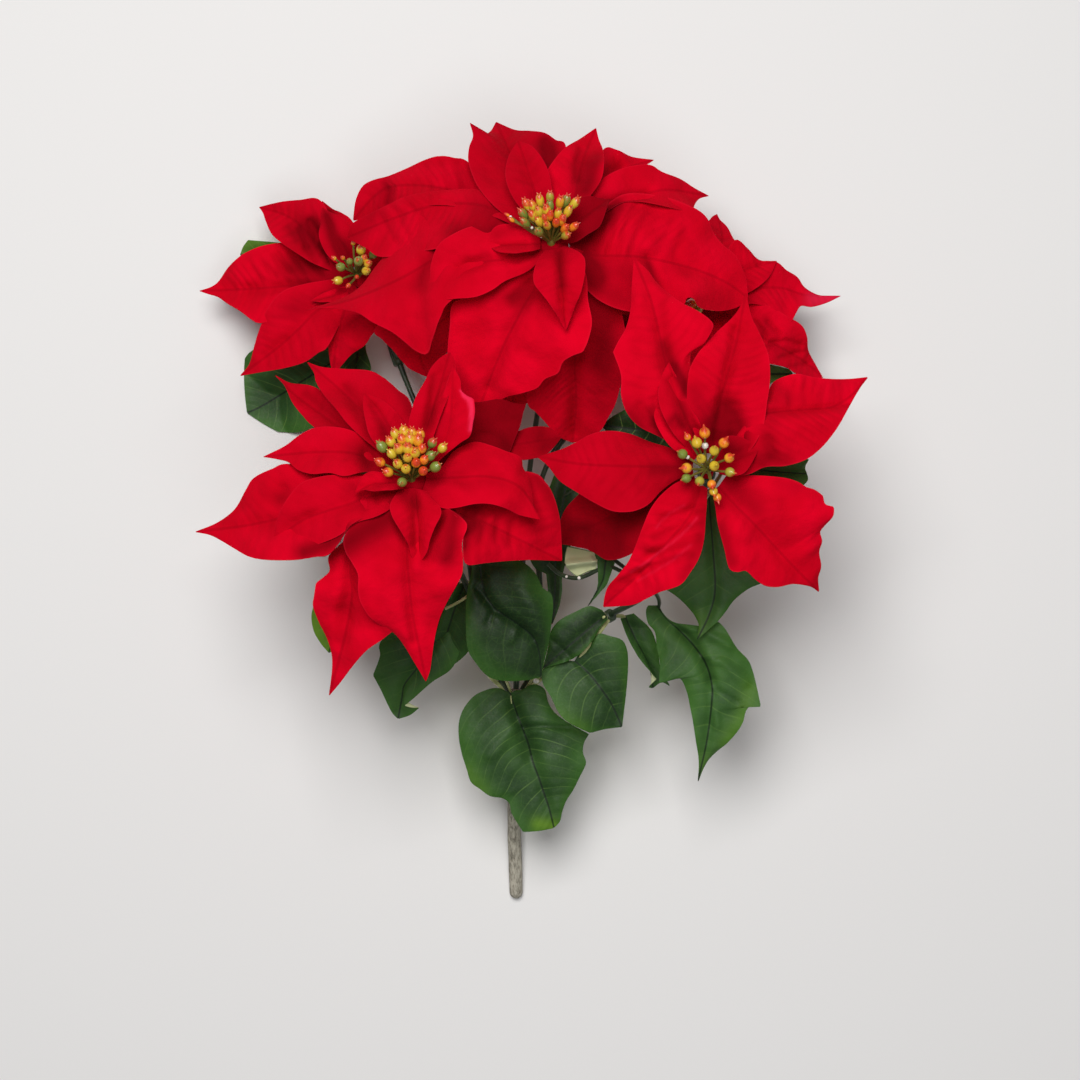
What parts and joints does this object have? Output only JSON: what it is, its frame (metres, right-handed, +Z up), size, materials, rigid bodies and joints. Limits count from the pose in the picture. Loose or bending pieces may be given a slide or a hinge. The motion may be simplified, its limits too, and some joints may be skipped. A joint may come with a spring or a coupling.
{
  "type": "artificial poinsettia bush",
  "caption": "Leafy bush of layered red poinsettia blooms with berry centres, its wires gathered in a short moulded stem, with no pot, lying on its back.",
  "frame": {"origin": "under the middle of the bush, on the surface it lies on", "axes": "+Z up, out of the front of the blooms; +Y along the stem, from its foot towards the top bloom; +X to the right as seen from the front"},
  "size_m": [0.3708, 0.4454, 0.1905],
  "materials": {
    "moulded_stem": "grey-brown moulded bark, matt",
    "green_wire": "dark green sleeve over wire, satin",
    "red_fabric": "velvet-like, pressed with veins",
    "green_fabric": "satin fabric printed with pale veins",
    "berry": "glossy, yellow to green with rosy tips"
  },
  "bodies": {
    "root": {"trunk": "moulded_stem", "branch_a": "green_wire", "bloom_a": "red_fabric", "berries_a": "berry", "branch_b": "green_wire", "bloom_b": "red_fabric", "berries_b": "berry", "branch_c": "green_wire", "bloom_c": "red_fabric", "berries_c": "berry", "branch_d": "green_wire", "bloom_d": "red_fabric", "berries_d": "berry", "branch_e": "green_wire", "bloom_e": "red_fabric", "berries_e": "berry", "leaves_1": "green_fabric", "leaves_2": "green_fabric", "leaves_3": "green_fabric", "leaves_4": "green_fabric", "leaves_5": "green_fabric", "leaves_6": "green_fabric", "leaves_7": "green_fabric", "leaves_8": "green_fabric", "leaves_9": "green_fabric", "leaves_10": "green_fabric"}
  },
  "joints": []
}
